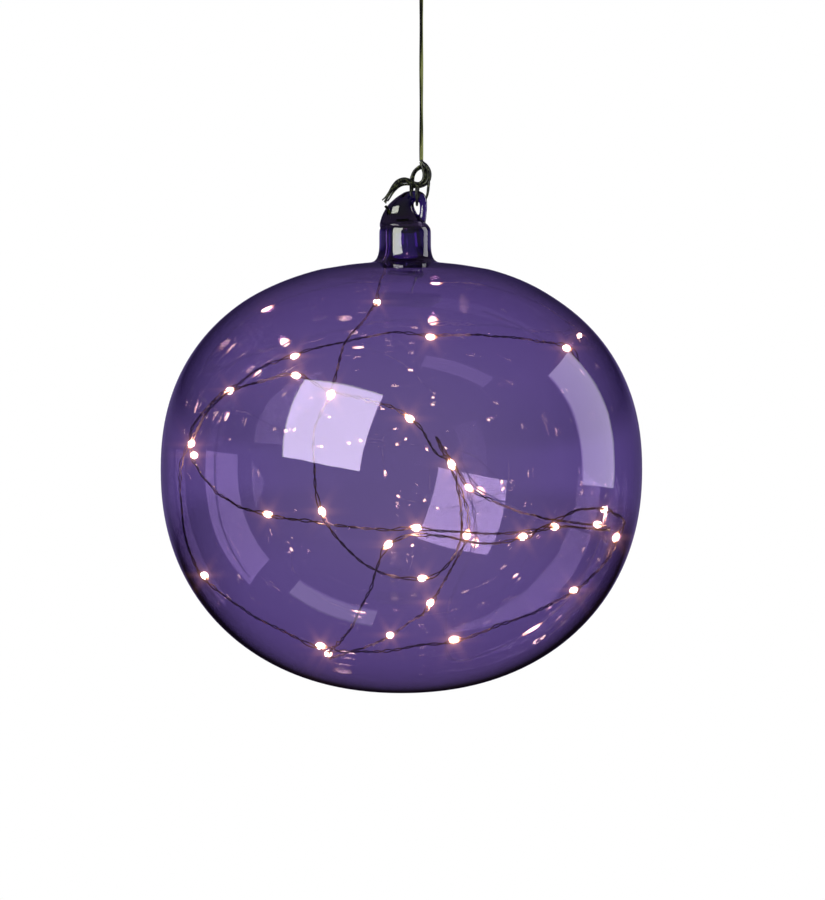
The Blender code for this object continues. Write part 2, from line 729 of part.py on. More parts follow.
def build():
    """Makes the whole light, from the bail down to the globe."""
    make_bail()
    bail_axis = new_axis("bail_pivot_axis", (0.0, 0.0, BAIL_PIVOT))
    make_case(bail_axis)
    low_end = make_cells(bail_axis)
    low = make_contacts(bail_axis, low_end)
    make_electronics(bail_axis, low)
    make_relief(bail_axis)
    door_axis = new_axis("door_slide_axis", (0.0, -CASE_DEPTH / 2, CASE_BOTTOM))
    make_door(door_axis)
    switch_axis = new_axis("switch_slide_axis", (CASE_WIDTH / 2, 0.0, SWITCH_HEIGHT))
    make_knob(switch_axis)
    make_lead(new_axis("lead_swing_axis", (0.0, 0.0, RELIEF_TIP)))
    make_knot(new_axis("lead_twist_axis", (0.0, 0.0, GLOBE_CENTRE.z + LEAD_FOOT)))
    tilt_axis = new_axis("globe_tilt_axis", (0.0, 0.0, GLOBE_CENTRE.z + BAR_HEIGHT))
    make_globe(tilt_axis)
    make_hook(tilt_axis)
    make_tail(tilt_axis)
    make_light_string(tilt_axis)


build()
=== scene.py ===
"""The looks of a hanging glass globe light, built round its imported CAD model.

A violet blown-glass globe with a drawn glass hook hangs on a knotted lead under its battery case,
with a string of tiny warm lights inside it. Sizes are in metres, and MM turns millimetres into
metres. Tables of places are in millimetres, as their comments say.
"""

import math
import random

import bpy
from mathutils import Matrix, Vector, noise


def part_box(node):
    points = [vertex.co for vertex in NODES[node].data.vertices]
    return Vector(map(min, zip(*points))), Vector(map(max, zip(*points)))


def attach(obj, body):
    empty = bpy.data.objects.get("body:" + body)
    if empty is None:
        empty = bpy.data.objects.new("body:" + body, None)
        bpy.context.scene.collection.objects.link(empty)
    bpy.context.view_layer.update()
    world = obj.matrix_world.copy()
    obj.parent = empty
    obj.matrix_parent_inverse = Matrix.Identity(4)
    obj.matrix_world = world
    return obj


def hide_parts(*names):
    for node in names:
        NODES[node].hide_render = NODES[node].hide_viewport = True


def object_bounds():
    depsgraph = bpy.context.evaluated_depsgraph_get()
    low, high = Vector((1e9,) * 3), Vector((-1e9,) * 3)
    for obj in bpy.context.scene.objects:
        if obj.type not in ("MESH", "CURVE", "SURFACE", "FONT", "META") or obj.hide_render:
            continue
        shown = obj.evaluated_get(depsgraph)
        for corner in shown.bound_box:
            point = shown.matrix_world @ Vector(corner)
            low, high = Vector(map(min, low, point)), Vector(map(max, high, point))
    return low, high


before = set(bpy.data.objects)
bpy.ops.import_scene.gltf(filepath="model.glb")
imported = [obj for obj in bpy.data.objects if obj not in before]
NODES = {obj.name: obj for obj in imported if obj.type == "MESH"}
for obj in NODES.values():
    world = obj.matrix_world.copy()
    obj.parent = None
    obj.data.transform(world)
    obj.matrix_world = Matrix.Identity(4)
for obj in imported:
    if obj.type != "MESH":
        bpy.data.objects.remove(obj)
CAD_LOW, CAD_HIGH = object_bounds()

MM = 0.001
SHARP_ANGLE = 50

# The globe, from its CAD node. Its own coordinates start at the centre of its widest circle.
GLOBE_LOW, GLOBE_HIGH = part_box("glass_globe")
NECK_RIM = 78.0 * MM
CENTRE = Vector(((GLOBE_LOW.x + GLOBE_HIGH.x) / 2, 0.0, GLOBE_HIGH.z - NECK_RIM))
GLOBE_RADIUS = (GLOBE_HIGH.x - GLOBE_LOW.x) / 2
GLOBE_TOP = 69.6 * MM
GLOBE_BOTTOM = CENTRE.z - GLOBE_LOW.z
# Its outline is a squarish ellipse, with these powers over and under its widest circle.
TOP_POWER = 2.24
BOTTOM_POWER = 2.17
GLASS_WALL = 1.2 * MM
STRING_INSET = 2.0 * MM
# The neck leans right by NECK_SHIFT. The lean grows from SHIFT_START up to NECK_FOOT.
NECK_SHIFT = 1.2 * MM
NECK_FOOT = 68.7 * MM
SHIFT_START = 55.0 * MM
# The neck's own side takes over from the globe's curve inside this radius.
NECK_TAKES_OVER = 28 * MM
GLOBE_STEPS = 44
GLOBE_FACETS = 160

# Camera: level, straight at the front of the globe. The lens and its sensor are in millimetres.
VIEW_TARGET = CENTRE + Vector((3.67, 0.0, 6.47)) * MM
VIEW_DISTANCE = 1.2
LENS = 144.0
SENSOR = 36.0

# The hanging lead: two strands side by side, which turn to and fro by LEAD_SWAY radians on their
# way down. It ends at LEAD_FOOT over the globe's centre.
LEAD_FOOT = 102.8 * MM
LEAD_STRAND_RADIUS = 0.39 * MM
LEAD_GAP = 0.30 * MM
LEAD_STEPS = 90
LEAD_SWAY = 0.85
LEAD_SWAY_STEPS = 13

# The lead's tail, in the neck: its two strands' radius, how far each lies from the middle, and
# how far down one turn of their twist goes.
TAIL_STRAND_RADIUS = 0.24 * MM
TAIL_GAP = 0.23 * MM
TAIL_PITCH = 5 * MM

# The light string: two wires, twisted together, with long and short kinks. They open out near
# each light and wherever they are slack.
WIRE_RADIUS = 0.20 * MM
SPAN_STEPS = 30
KINK_SEED = 7
KINK_REACH = 0.8 * MM
KINK_LONG = 11 * MM
KINK_SHORT = 4 * MM
SLACK_EVERY = 7 * MM
OPEN_REACH = 6.5 * MM
# How far each wire lies from the middle, and how long one turn is, in millimetres: everywhere,
# and how much more at a light or where the wires are slack.
WIRE_GAP = 0.21
GAP_AT_LIGHT = 0.30
GAP_WHERE_SLACK = 0.45
WIRE_PITCH = 7.0
PITCH_AT_LIGHT = 9.0

# The light string's route, as in the CAD model: across and up from the globe's centre in
# millimetres, and how far towards the wall, where -1 is the front wall and 1 the back wall.
# Each row starts at a light and goes on to the next row's.
LED_ROUTE = (
    ((-8, 55, -0.55), (-11, 49, -0.70), (-18, 39, -0.88)),
    ((-22, 24, -0.96), (-27, 13, -0.97), (-27, 0, -0.97)),
    ((-25, -13, -0.97), (-19, -22, -0.96), (-8, -31, -0.95)),
    ((7, -34, -0.95), (16, -27, -0.95), (19, -16, -0.95)),
    ((16, 2, -0.93), (11, 6, -0.84)),
    ((3, 17, -0.70), (-10, 22, -0.78), (-22, 25, -0.90)),
    ((-33, 30, -0.93), (-46, 28, -0.90), (-58, 23, -0.80)),
    ((-70, 9, -0.30), (-73, -3, -0.25), (-72, -20, -0.35)),
    ((-65, -35, -0.65), (-51, -45, -0.80), (-37, -52, -0.90)),
    ((-26, -57, -0.90), (-12, -58, -0.93), (3, -56, -0.93)),
    ((17, -54, -0.93), (35, -48, -0.90), (46, -44, -0.85)),
    ((56, -39, -0.70), (66, -32, -0.50)),
    ((72, -23, -0.05), (73, -17, -0.40)),
    ((66, -13, -0.85), (57, -13, -0.92), (48, -16, -0.95)),
    ((39, -21, -0.96), (27, -23, -0.96), (9, -20, -0.96)),
    ((-4, -23, -0.96), (-10, -38, -0.96), (-16, -50, -0.95)),
    ((-24, -60, -0.70), (-19, -61, -0.40), (-11, -59, -0.05)),
    ((-4, -57, 0.30), (4, -52, 0.60)),
    ((10, -48, 0.80), (16, -38, 0.92)),
    ((23, -24, 0.95), (22, -11, 0.95), (12, 11, 0.93), (18, 2, 0.93)),
    ((24, -7, 0.93), (38, -14, 0.90), (55, -18, 0.75)),
    ((67, -19, 0.30), (67, -20, -0.30)),
    ((49, -18, -0.96), (31, -20, -0.97), (17, -19, -0.97)),
    ((5, -18, -0.97), (-10, -18, -0.97), (-29, -16, -0.97)),
    ((-42, -14, -0.95), (-56, -9, -0.88), (-65, -1, -0.65)),
    ((-69, 5, -0.30), (-70, 14, 0.10), (-66, 21, 0.45)),
    ((-60, 27, 0.80), (-49, 35, 0.90)),
    ((-38, 40, 0.94), (-20, 45, 0.95), (-4, 48, 0.95)),
    ((10, 47, 0.95), (27, 47, 0.95), (44, 45, 0.94)),
    ((57, 42, 0.85), (61, 37, 0.85)),
)
# The wires' way from the neck to the first light, and the tail's from the knot's loose ends down
# to where the wires start, in millimetres from the globe's centre.
WIRE_START = ((-5.5, -4.7, 66.6), (-5.7, -7.0, 64.8), (-7.0, -12.0, 62.0), (-7.6, -20.0, 58.8))
TAIL_ROUTE = (
    (-5.4, -3.6, 87.6),
    (-4.4, -3.1, 86.4),
    (-3.7, -2.6, 84.6),
    (-3.6, -2.5, 82.0),
    (-3.6, -2.5, 78.0),
    (-3.6, -2.6, 74.0),
    (-4.1, -3.1, 70.2),
    (-5.2, -4.2, 67.3),
)

# The hook's web as level sections, in millimetres from the globe's centre: its left and right
# sides, half its depth and its height.
HOOK_WEB = (
    (-5.6, 8.0, 6.8, 79.6),
    (-7.0, 8.4, 7.6, 80.4),
    (-7.3, 7.6, 7.0, 81.6),
    (-7.0, 6.5, 5.6, 83.0),
    (-6.5, 5.6, 4.5, 84.6),
    (-5.6, 4.6, 4.0, 86.4),
    (-4.5, 4.1, 3.6, 88.1),
    (-3.0, 4.3, 3.0, 89.6),
    (-1.3, 4.9, 2.1, 91.0),
    (0.9, 5.5, 1.2, 92.4),
)
# The hook's bar and its leg, down to the neck's shoulder: across, depth, up and radius.
HOOK_LEG = (
    (1.6, 0, 90.8, 1.8),
    (3.4, 0, 91.1, 1.85),
    (5.2, 0, 91.1, 1.85),
    (6.5, 0, 90.6, 1.65),
    (7.2, 0, 89.2, 1.35),
    (7.3, 0, 87.6, 1.25),
    (7.25, 0, 86.0, 1.25),
    (7.05, 0, 84.2, 1.3),
    (6.6, 0, 82.6, 1.5),
    (6.2, 0, 81.0, 1.8),
)
# The bore that the tail goes through, in millimetres. It is a little wider in the hook than in
# the neck, so that the two cuts share no face.
BORE_RADIUS = 1.05
BORE_PLAY = 0.02
HOOK_VOXEL = 0.32 * MM
HOOK_SMOOTHING = 8

# The neck's outer side and its hollow from the globe's shoulder up, as (radius, height) in
# millimetres from the globe's centre.
NECK_SIDE = (
    (20.0, 67.9),
    (14.0, 68.6),
    (11.3, 69.0),
    (9.8, 69.9),
    (9.0, 71.6),
    (8.65, 74.0),
    (8.6, 78.0),
    (8.5, 79.8),
    (7.8, 81.2),
    (6.4, 82.3),
    (3.5, 82.9),
)
NECK_HOLLOW = (
    (19.5, 66.6),
    (13.0, 67.2),
    (9.0, 67.9),
    (6.2, 69.4),
    (4.6, 71.8),
    (3.7, 74.5),
    (3.3, 78.0),
    (3.0, 79.6),
    (2.2, 80.6),
)

# The knot's strands, from the globe's centre in millimetres: across, depth, up and radius.
KNOT_STRANDS = (
    # The ring's thin left side, two strands that go on down round the bar.
    ((6.9, -0.3, 101.4, 0.5), (5.6, -0.5, 100.7, 0.42), (4.2, -0.6, 99.4, 0.4),
     (3.4, -0.6, 97.6, 0.42), (3.1, -0.7, 95.8, 0.45), (3.1, -1.5, 94.0, 0.45),
     (3.1, -2.6, 92.6, 0.42), (3.1, -3.05, 91.7, 0.42), (3.1, -3.2, 90.9, 0.34)),
    ((6.6, 0.4, 100.6, 0.45), (5.2, 0.3, 99.7, 0.38), (4.2, 0.3, 98.2, 0.38),
     (3.9, 0.2, 96.6, 0.42), (3.9, 0.4, 94.9, 0.45), (3.6, 1.4, 93.4, 0.42),
     (3.4, 2.6, 92.2, 0.4), (3.4, 2.95, 91.2, 0.4), (3.6, 3.0, 90.4, 0.34)),
    # Its thick right lobe.
    ((6.5, -0.2, 103.0, 0.5), (7.6, -0.9, 101.4, 0.62), (8.7, -0.9, 99.8, 0.66),
     (9.0, -0.7, 98.0, 0.66), (8.7, -0.5, 96.3, 0.64), (7.6, -0.4, 95.1, 0.62),
     (6.0, -0.5, 94.7, 0.58), (4.4, -0.6, 94.8, 0.5), (3.0, -0.7, 95.6, 0.5)),
    ((6.5, 0.5, 102.8, 0.5), (8.2, 0.5, 101.3, 0.62), (9.2, 0.5, 99.6, 0.64),
     (9.4, 0.6, 97.8, 0.64), (8.9, 0.7, 96.1, 0.62), (7.6, 0.8, 94.9, 0.58),
     (5.8, 0.8, 94.3, 0.52), (4.0, 0.6, 94.3, 0.5), (2.8, 0.2, 94.8, 0.45)),
    ((6.4, -0.6, 102.4, 0.5), (7.0, -0.9, 100.6, 0.58), (7.5, -1.0, 99.0, 0.58),
     (7.5, -1.0, 97.4, 0.58), (7.0, -0.9, 96.0, 0.58), (5.8, -1.0, 95.3, 0.5),
     (4.4, -1.0, 95.5, 0.45), (3.4, -1.0, 96.2, 0.4)),
    ((6.9, 0.2, 101.8, 0.5), (8.1, 0.1, 100.4, 0.64), (8.4, 0.0, 98.8, 0.64),
     (8.2, 0.0, 97.2, 0.64), (7.4, 0.1, 95.9, 0.62), (6.2, 0.2, 95.2, 0.5),
     (4.8, 0.2, 95.0, 0.5)),
    ((7.2, 0.9, 101.8, 0.5), (8.3, 1.1, 99.8, 0.58), (8.1, 1.2, 97.9, 0.58),
     (7.4, 1.2, 96.3, 0.5)),
    # Two strands from the lobe, down the bar's right end.
    ((8.9, -0.5, 97.0, 0.5), (9.1, -0.6, 95.4, 0.46), (8.9, -1.1, 93.6, 0.46),
     (8.7, -1.7, 92.0, 0.42), (8.3, -2.1, 90.6, 0.36)),
    ((9.1, 0.5, 96.6, 0.48), (9.0, 0.6, 94.8, 0.46), (8.9, 1.2, 93.2, 0.44),
     (8.6, 1.8, 91.6, 0.4), (8.1, 2.0, 90.2, 0.34)),
    # The loop's strand round the bar.
    ((5.2, -1.6, 94.4, 0.5), (5.0, -2.5, 92.8, 0.5), (5.0, -2.7, 90.9, 0.48),
     (5.1, -2.0, 88.9, 0.42), (5.15, 0.0, 88.1, 0.4), (5.2, 2.0, 88.9, 0.42),
     (5.3, 2.7, 90.9, 0.48), (5.4, 2.4, 92.8, 0.5), (5.6, 1.0, 94.4, 0.5)),
)
# The loose ends' strands arch to the left and fray.
END_STRANDS = (
    ((3.6, -1.2, 96.0, 0.42), (1.6, -1.5, 96.5, 0.42), (-0.6, -1.8, 96.0, 0.42),
     (-2.4, -2.1, 94.6, 0.4), (-3.7, -2.6, 92.8, 0.38), (-4.6, -3.1, 90.8, 0.36),
     (-5.7, -3.4, 88.9, 0.3)),
    ((3.8, -0.6, 95.4, 0.42), (1.4, -0.8, 95.8, 0.42), (-0.9, -1.2, 95.0, 0.42),
     (-2.6, -1.6, 93.5, 0.4), (-3.8, -2.5, 91.8, 0.36), (-4.9, -3.0, 90.0, 0.34),
     (-5.3, -3.3, 88.5, 0.3)),
    ((3.9, 0.1, 94.8, 0.38), (1.7, -0.2, 95.0, 0.38), (-0.3, -0.7, 94.5, 0.36),
     (-1.9, -1.5, 93.2, 0.34), (-3.1, -2.6, 91.6, 0.32), (-3.9, -3.6, 90.2, 0.3),
     (-4.6, -4.2, 89.2, 0.28)),
    ((3.2, -1.0, 96.4, 0.34), (0.9, -0.8, 97.0, 0.32), (-1.4, -1.3, 96.2, 0.32),
     (-3.0, -1.9, 94.4, 0.3), (-4.2, -2.6, 92.2, 0.28), (-5.3, -3.0, 90.6, 0.26),
     (-6.4, -3.2, 89.5, 0.22)),
)


def local(across, depth, height):
    """A place in the globe's own millimetres, as a place in the model."""
    return CENTRE + Vector((across, depth, height)) * MM


def smooth_line(route, per_span):
    """Points on a smooth curve through every point of a route, per_span to each span."""
    points = [Vector(p) for p in route]
    ends = [2 * points[0] - points[1], *points, 2 * points[-1] - points[-2]]
    line = []
    for i in range(1, len(ends) - 2):
        before, start, end, after = ends[i - 1 : i + 3]
        for step in range(per_span):
            t = step / per_span
            bend = 2 * before - 5 * start + 4 * end - after
            twist = 3 * start - before - 3 * end + after
            line.append(0.5 * (2 * start + (end - before) * t + bend * t * t + twist * t**3))
    line.append(points[-1])
    return line


def strand_line(route, per_span=6):
    """A smooth line of places and its radii, from a route of (across, depth, up, radius)."""
    line = smooth_line(route, per_span)
    return [local(*p[:3]) for p in line], [p[3] * MM for p in line]


def carried_sides(line):
    """Two directions across a line at each of its points, carried along it without a twist."""
    last = len(line) - 1
    ahead = [(line[min(i + 1, last)] - line[max(i - 1, 0)]).normalized() for i in range(last + 1)]
    side = ahead[0].orthogonal().normalized()
    sides = []
    for direction in ahead:
        side = (side - side.dot(direction) * direction).normalized()
        sides.append((side, direction.cross(side)))
    return sides


def skinned(rings):
    """The points and faces of a closed skin over a row of rings of equally many points."""
    sides = len(rings[0])
    faces = [tuple(reversed(range(sides)))]
    for ring in range(len(rings) - 1):
        here = ring * sides
        there = here + sides
        for k in range(sides):
            after = (k + 1) % sides
            faces.append((here + k, here + after, there + after, there + k))
    last = sides * (len(rings) - 1)
    faces.append(tuple(range(last, last + sides)))
    return [point for ring in rings for point in ring], faces


def ring_round(place, side, up, sides):
    """A ring of points round a place. side and up reach from it to the ring."""
    turns = [2 * math.pi * k / sides for k in range(sides)]
    return [place + math.cos(turn) * side + math.sin(turn) * up for turn in turns]


def tube(line, radii, sides=8):
    """The points and faces of a closed tube along a line, with a radius for each of its points."""
    rings = []
    for place, radius, (side, up) in zip(line, radii, carried_sides(line)):
        rings.append(ring_round(place, radius * side, radius * up, sides))
    return skinned(rings)


def stacked(sections, sides):
    """The points and faces of a solid through level sections of (left, right, half depth, up)."""
    rings = []
    for left, right, half_depth, height in smooth_line(sections, 5):
        place = local((left + right) / 2, 0.0, height)
        half_width = Vector(((right - left) / 2 * MM, 0.0, 0.0))
        rings.append(ring_round(place, half_width, Vector((0.0, half_depth * MM, 0.0)), sides))
    return skinned(rings)


def turned(side, steps):
    """The points and faces of a solid turned about the Z axis. side runs up from pole to pole."""
    points = [Vector((0.0, 0.0, side[0][1]))]
    for radius, height in side[1:-1]:
        for k in range(steps):
            turn = 2 * math.pi * k / steps
            points.append(Vector((radius * math.cos(turn), radius * math.sin(turn), height)))
    points.append(Vector((0.0, 0.0, side[-1][1])))
    top = len(points) - 1
    faces = []
    for k in range(steps):
        after = (k + 1) % steps
        faces.append((0, 1 + after, 1 + k))
        faces.append((top, top - steps + k, top - steps + after))
        for ring in range(len(side) - 3):
            here = 1 + ring * steps
            there = here + steps
            faces.append((here + k, here + after, there + after, there + k))
    return points, faces


def new_piece(name, parts, material=None, sharp=SHARP_ANGLE):
    """A mesh object of several (points, faces), smooth but for edges that turn sharp degrees."""
    points = []
    faces = []
    for more_points, more_faces in parts:
        start = len(points)
        points.extend(more_points)
        faces.extend(tuple(start + i for i in face) for face in more_faces)
    mesh = bpy.data.meshes.new(name)
    mesh.from_pydata(points, [], faces)
    mesh.shade_smooth()
    mesh.set_sharp_from_angle(angle=math.radians(sharp))
    obj = bpy.data.objects.new(name, mesh)
    bpy.context.scene.collection.objects.link(obj)
    if material:
        mesh.materials.append(material)
    return obj


def finished(obj, body, slot, *nodes):
    """Puts a piece on its body, in place of the CAD nodes that it stands for."""
    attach(obj, body)
    if nodes:
        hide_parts(*nodes)


def applied(obj):
    """The object with its modifiers applied to its mesh."""
    bpy.context.view_layer.update()
    graph = bpy.context.evaluated_depsgraph_get()
    old = obj.data
    obj.data = bpy.data.meshes.new_from_object(obj.evaluated_get(graph), depsgraph=graph)
    obj.modifiers.clear()
    bpy.data.meshes.remove(old)
    return obj


# ---------------------------------------------------------------------------------- materials

# Glass: its index, and how strongly a metre of it takes up light, the globe's and the hook's.
GLASS_INDEX = 1.5
GLASS_TINT = (0.467, 0.25, 0.717, 1.0)
GLASS_DENSITY = 620.0
HOOK_DENSITY = 2300.0
LUSTRE_INDEX = 2.1
NECK_LUSTRE = 0.45

# A lit drop's glow: its colours from DROP_MIDDLE away from its light, at 0, to DROP_ENDS, at 1.
DROP_STRENGTH = 40.0
DROP_MIDDLE = 1.0 * MM
DROP_ENDS = 2.7 * MM
DROP_GLOW = (
    (0.0, (1.0, 0.76, 0.44)),
    (0.35, (0.25, 0.13, 0.05)),
    (0.65, (0.05, 0.018, 0.006)),
    (1.0, (0.014, 0.004, 0.001)),
)

# Where dark lacquer gives way to bright copper, over a noise: the bright stops are painted glints.
COPPER_AND_GLINT_TONES = (
    (0.46, (0.010, 0.006, 0.005)),
    (0.53, (0.12, 0.065, 0.04)),
    (0.60, (1.0, 0.76, 0.60)),
)
STRAND_CORE = (0.002, 0.003, 0.001)


def new_material(name):
    """An empty node material: its nodes, its links and its Principled shader."""
    material = bpy.data.materials.new(name)
    material.use_nodes = True
    nodes = material.node_tree.nodes
    return material, nodes, material.node_tree.links, nodes["Principled BSDF"]


def noise_value(nodes, links, scale, detail=4.0, stretch=(1.0, 1.0, 1.0)):
    """A noise texture in the piece's own coordinates. A higher scale makes it finer."""
    place = nodes.new("ShaderNodeTexCoord")
    squeeze = nodes.new("ShaderNodeMapping")
    squeeze.inputs["Scale"].default_value = stretch
    texture = nodes.new("ShaderNodeTexNoise")
    texture.inputs["Scale"].default_value = scale
    texture.inputs["Detail"].default_value = detail
    links.new(place.outputs["Object"], squeeze.inputs["Vector"])
    links.new(squeeze.outputs["Vector"], texture.inputs["Vector"])
    return texture.outputs["Fac"]


def ramp(nodes, links, value, *stops):
    """A colour ramp over a value: stops are (position, colour)."""
    node = nodes.new("ShaderNodeValToRGB")
    while len(node.color_ramp.elements) < len(stops):
        node.color_ramp.elements.new(0.5)
    for element, (position, colour) in zip(node.color_ramp.elements, stops):
        element.position = position
        element.color = (*colour, 1.0)
    links.new(value, node.inputs["Fac"])
    return node.outputs["Color"]


def bumped(nodes, links, shader, value, strength, distance):
    """Raises the surface by a value, for the shader's normal only."""
    node = nodes.new("ShaderNodeBump")
    node.inputs["Strength"].default_value = strength
    node.inputs["Distance"].default_value = distance
    links.new(value, node.inputs["Height"])
    links.new(node.outputs["Normal"], shader.inputs["Normal"])


def mottled(name, low, high, scale, roughness, metallic=0.0, bump=0.0, stretch=(1, 1, 1)):
    """An opaque finish whose colour drifts between two, with a fine grain raised on it."""
    material, nodes, links, shader = new_material(name)
    drift = noise_value(nodes, links, scale, stretch=stretch)
    links.new(ramp(nodes, links, drift, (0.3, low), (0.7, high)), shader.inputs["Base Color"])
    shader.inputs["Roughness"].default_value = roughness
    shader.inputs["Metallic"].default_value = metallic
    if bump:
        grain = noise_value(nodes, links, 900.0, 6.0)
        bumped(nodes, links, shader, grain, bump, 0.1 * MM)
    return material


def glass_material(name, density):
    """Clear glass that takes up light on its way through, with a blown surface's faint waves.

    A lustre lies on each face, as strong as its "lustre" attribute says.
    """
    material, nodes, links, shader = new_material(name)
    lustre = nodes.new("ShaderNodeAttribute")
    lustre.attribute_name = "lustre"
    links.new(lustre.outputs["Fac"], shader.inputs["Coat Weight"])
    shader.inputs["Coat Roughness"].default_value = 0.0
    shader.inputs["Coat IOR"].default_value = LUSTRE_INDEX
    shader.inputs["Base Color"].default_value = (1.0, 1.0, 1.0, 1.0)
    shader.inputs["Roughness"].default_value = 0.0
    shader.inputs["IOR"].default_value = GLASS_INDEX
    shader.inputs["Transmission Weight"].default_value = 1.0
    waves = noise_value(nodes, links, 45.0, 2.0)
    bumped(nodes, links, shader, waves, 0.08, 1.0 * MM)
    takes_up = nodes.new("ShaderNodeVolumeAbsorption")
    takes_up.inputs["Color"].default_value = GLASS_TINT
    takes_up.inputs["Density"].default_value = density
    links.new(takes_up.outputs["Volume"], nodes["Material Output"].inputs["Volume"])
    return material


def resin_material():
    """A lit resin drop: brightest round its light, dying away to orange in its drawn-out ends."""
    material, nodes, links, shader = new_material("lit_resin")
    place = nodes.new("ShaderNodeTexCoord")
    length = nodes.new("ShaderNodeVectorMath")
    length.operation = "LENGTH"
    links.new(place.outputs["Object"], length.inputs[0])
    reach = nodes.new("ShaderNodeMapRange")
    reach.inputs["From Min"].default_value = DROP_MIDDLE
    reach.inputs["From Max"].default_value = DROP_ENDS
    links.new(length.outputs["Value"], reach.inputs["Value"])
    glow = ramp(nodes, links, reach.outputs["Result"], *DROP_GLOW)
    links.new(glow, shader.inputs["Emission Color"])
    shader.inputs["Emission Strength"].default_value = DROP_STRENGTH
    shader.inputs["Base Color"].default_value = (1.0, 0.86, 0.66, 1.0)
    shader.inputs["Roughness"].default_value = 0.12
    bumped(nodes, links, shader, noise_value(nodes, links, 700.0), 0.2, 0.2 * MM)
    return material


def copper_material():
    """Lacquered copper wire, nearly black, with bright stretches that are painted glints."""
    material, nodes, links, shader = new_material("lacquered_copper_painted_glints")
    drift = noise_value(nodes, links, 80.0, 3.0)
    # The ramp's bright copper stops are painted glints.
    links.new(ramp(nodes, links, drift, *COPPER_AND_GLINT_TONES), shader.inputs["Base Color"])
    shader.inputs["Metallic"].default_value = 1.0
    shader.inputs["Roughness"].default_value = 0.38
    return material


def strand_material(name, scale, stretch, dark, pale, gloss, middle_tone, painted_highlight_tone):
    """Thin olive insulation over a nearly black core, with pale streaks that are painted
    highlights.

    dark and pale are the noise values at which the core's tone ends and the painted highlight's
    pale tone starts.
    gloss is how much it shines.
    """
    material, nodes, links, shader = new_material(name)
    drift = noise_value(nodes, links, scale, 2.0, stretch=(1.0, 1.0, stretch))
    # The last stop's pale streaks are painted highlights.
    stops = ((dark, STRAND_CORE), ((dark + pale) / 2, middle_tone), (pale, painted_highlight_tone))
    links.new(ramp(nodes, links, drift, *stops), shader.inputs["Base Color"])
    shader.inputs["Roughness"].default_value = 0.34
    shader.inputs["Specular IOR Level"].default_value = gloss
    bumped(nodes, links, shader, noise_value(nodes, links, 1800.0), 0.25, 0.05 * MM)
    return material


GLASS = glass_material("violet_glass", GLASS_DENSITY)
HOOK_GLASS = glass_material("deep_violet_glass", HOOK_DENSITY)
RESIN = resin_material()
COPPER = copper_material()
# The lead's insulation, whose pale streaks are painted highlights.
OLIVE = strand_material(
    "olive_insulation_painted_highlights", 900.0, 0.05, 0.43, 0.60, 0.09, (0.040, 0.048, 0.009), (0.245, 0.27, 0.09)
)
# The knot's strands: a darker copy of the lead's finish, painted shade where they pack together,
# with pale streaks as painted highlights.
KNOT_SHADED_OLIVE = strand_material(
    "knotted_insulation_painted_shade", 1300.0, 1.0, 0.46, 0.66, 0.5, (0.022, 0.028, 0.008), (0.12, 0.14, 0.05)
)
CASE_PLASTIC = mottled(
    "case_plastic", (0.030, 0.034, 0.028), (0.045, 0.050, 0.042), 40, 0.5, bump=0.5
)
KNOB_PLASTIC = mottled("knob_plastic", (0.52, 0.52, 0.50), (0.60, 0.60, 0.58), 90, 0.42, bump=0.3)
RUBBER = mottled("relief_rubber", (0.020, 0.022, 0.018), (0.034, 0.037, 0.031), 120, 0.72, bump=0.6)
SPRING_STEEL = mottled("nickel_spring", (0.58, 0.57, 0.53), (0.76, 0.75, 0.72), 300, 0.24, 1.0)
BAIL_STEEL = mottled(
    "drawn_steel", (0.50, 0.50, 0.49), (0.68, 0.68, 0.66), 260, 0.3, 1.0, 0.3, (0.1, 1, 1)
)
LAMINATE = mottled("board_laminate", (0.012, 0.10, 0.045), (0.02, 0.15, 0.07), 180, 0.4, bump=0.2)


# --------------------------------------------------------------------------- camera and cords


def make_camera():
    """A long lens, level and straight in front of the view's target."""
    data = bpy.data.cameras.new("camera")
    data.lens = LENS
    data.sensor_width = SENSOR
    camera = bpy.data.objects.new("camera", data)
    camera.location = VIEW_TARGET - Vector((0.0, VIEW_DISTANCE, 0.0))
    camera.rotation_euler = (math.pi / 2, 0.0, 0.0)
    bpy.context.scene.collection.objects.link(camera)
    bpy.context.scene.camera = camera


def squarish_radius(height, inset):
    """The globe's radius at a height from its centre, inset from its outer surface."""
    half = (GLOBE_TOP if height >= 0 else GLOBE_BOTTOM) - inset
    power = TOP_POWER if height >= 0 else BOTTOM_POWER
    share = min(1.0, abs(height) / half)
    return (GLOBE_RADIUS - inset) * (1.0 - share**power) ** (1.0 / power)


def wall_depth(across, height, share):
    """How deep a point lies when it is that share of the way to where the string may lie."""
    radius = squarish_radius(height * MM, STRING_INSET) / MM
    return share * math.sqrt(max(0.0, radius**2 - across**2))


def string_points():
    """The light string's points, and which of them hold a light."""
    points = [local(*p) for p in WIRE_START]
    lights = []
    for row in LED_ROUTE:
        lights.append(len(points))
        for across, height, share in row:
            points.append(local(across, wall_depth(across, height, share), height))
    return points, lights


def twisted(line, gaps, pitches):
    """Two lines that wind round a centre line, gaps away from it, one turn to each pitch."""
    first = []
    second = []
    turn = 0.0
    previous = line[0]
    for place, gap, pitch, (side, up) in zip(line, gaps, pitches, carried_sides(line)):
        turn += 2 * math.pi * (place - previous).length / pitch
        previous = place
        across = gap * (math.cos(turn) * side + math.sin(turn) * up)
        first.append(place + across)
        second.append(place - across)
    return first, second


